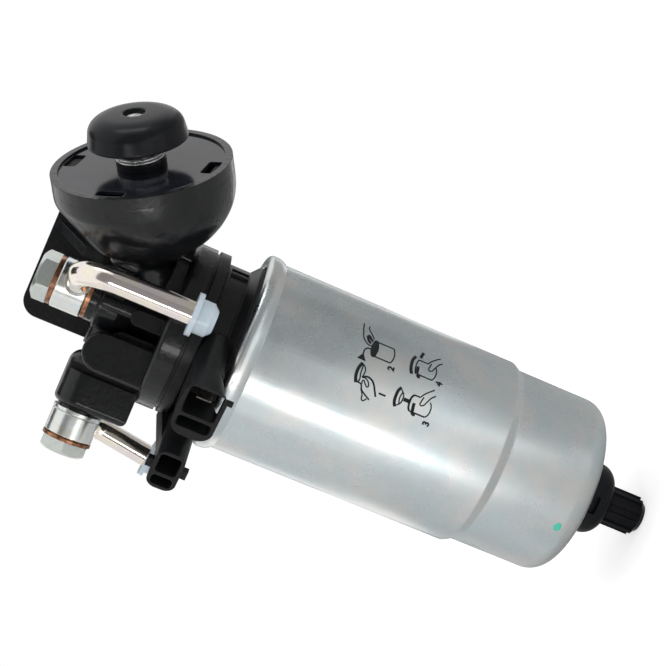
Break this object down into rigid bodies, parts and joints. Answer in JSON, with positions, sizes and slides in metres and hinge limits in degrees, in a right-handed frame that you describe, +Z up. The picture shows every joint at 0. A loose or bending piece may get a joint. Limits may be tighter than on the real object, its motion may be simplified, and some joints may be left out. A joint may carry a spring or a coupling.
{
  "type": "fuel water separator",
  "caption": "Diesel fuel water separator: cast head with hand primer pump and heater ring, spin-on canister with a drain knob, and two capped banjo pipes.",
  "frame": {"origin": "centre of the bracket's four-bolt pattern on its mounting face, at the back of the filter head", "axes": "+Z up along the canister axis, +Y out of the mounting face and away from the canister, +X towards the primer pump"},
  "size_m": [0.1526, 0.1171, 0.2942],
  "materials": {
    "black_casting": "gloss black paint over a fine cast skin",
    "black_enamel": "gloss black enamel on pressed steel",
    "seal_rubber": "moulded black rubber",
    "plated_steel": "bright zinc plating",
    "brass_valve": "turned brass",
    "black_plastic": "satin black glass-filled plastic",
    "spring_steel": "bright spring steel",
    "heater_ceramic": "grey sintered heater plate",
    "terminal_brass": "tinned brass",
    "can_steel": "bright plated drawn steel",
    "end_cap_plastic": "plain moulded plastic",
    "filter_paper": "resin-treated pleated paper",
    "copper": "soft copper",
    "cap_plastic": "milky soft plastic"
  },
  "bodies": {
    "head": {"filter_head": "black_casting", "head_oring": "seal_rubber", "centre_nipple": "plated_steel", "inlet_valve": "brass_valve", "outlet_valve": "brass_valve", "pump_cover": "black_enamel", "rod_guide": "black_plastic", "diaphragm": "seal_rubber", "pump_spring": "spring_steel", "heater_body": "black_plastic", "heater_element": "heater_ceramic", "power_terminals": "terminal_brass", "sensor_terminals": "terminal_brass", "upper_banjo_bolt": "plated_steel", "upper_washer_inner": "copper", "upper_washer_outer": "copper", "upper_banjo_fitting": "plated_steel", "upper_pipe": "plated_steel", "side_banjo_bolt": "plated_steel", "side_washer_inner": "copper", "side_washer_outer": "copper", "side_banjo_fitting": "plated_steel", "side_pipe": "plated_steel"},
    "plunger": {"push_button": "black_plastic", "button_screw": "plated_steel", "plunger_rod": "plated_steel", "diaphragm_plate_upper": "plated_steel", "diaphragm_plate_lower": "plated_steel", "rod_nut": "plated_steel"},
    "can_seat": {"can_gasket": "seal_rubber"},
    "canister": {"can_shell": "can_steel", "seam_retainer": "plated_steel", "base_plate": "plated_steel", "element_grommet": "seal_rubber", "upper_end_cap": "end_cap_plastic", "pleated_element": "filter_paper", "centre_tube": "end_cap_plastic", "lower_end_cap": "end_cap_plastic", "element_spring": "spring_steel", "drain_bush": "plated_steel"},
    "drain_seat": {"drain_gasket": "seal_rubber"},
    "drain": {"drain_knob": "black_plastic"},
    "upper_cap": {"upper_pipe_cap": "cap_plastic"},
    "side_cap": {"side_pipe_cap": "cap_plastic"}
  },
  "joints": [
    {"name": "plunger_press", "type": "slide", "parent": "head", "child": "plunger", "axis": [-0.7738, 0.4236, -0.471], "range_m": [0, 0.009], "stiffness_N_per_m": 600, "springref_m": -0.01, "deforming": ["pump_spring", "diaphragm"]},
    {"name": "can_lower", "type": "slide", "parent": "head", "child": "can_seat", "axis": [0, 0, -1], "range_m": [0, 0.015]},
    {"name": "can_unscrew", "type": "hinge", "parent": "can_seat", "child": "canister", "pos_m": [-0.009, -0.053, -0.06], "axis": [0, 0, -1], "range_deg": [0, 3600]},
    {"name": "drain_lower", "type": "slide", "parent": "canister", "child": "drain_seat", "axis": [0, 0, -1], "range_m": [0, 0.003]},
    {"name": "drain_unscrew", "type": "hinge", "parent": "drain_seat", "child": "drain", "pos_m": [-0.009, -0.053, -0.225], "axis": [0, 0, -1], "range_deg": [0, 720]},
    {"name": "upper_cap_pull", "type": "slide", "parent": "head", "child": "upper_cap", "axis": [0, 0, -1], "range_m": [0, 0.012]},
    {"name": "side_cap_pull", "type": "slide", "parent": "head", "child": "side_cap", "axis": [-0.1478, 0, -0.989], "range_m": [0, 0.012]}
  ],
  "couplings": [
    {"joint": "can_lower", "follows": "can_unscrew", "m_per_rad": 0.0002387},
    {"joint": "drain_lower", "follows": "drain_unscrew", "m_per_rad": 0.0002387}
  ]
}
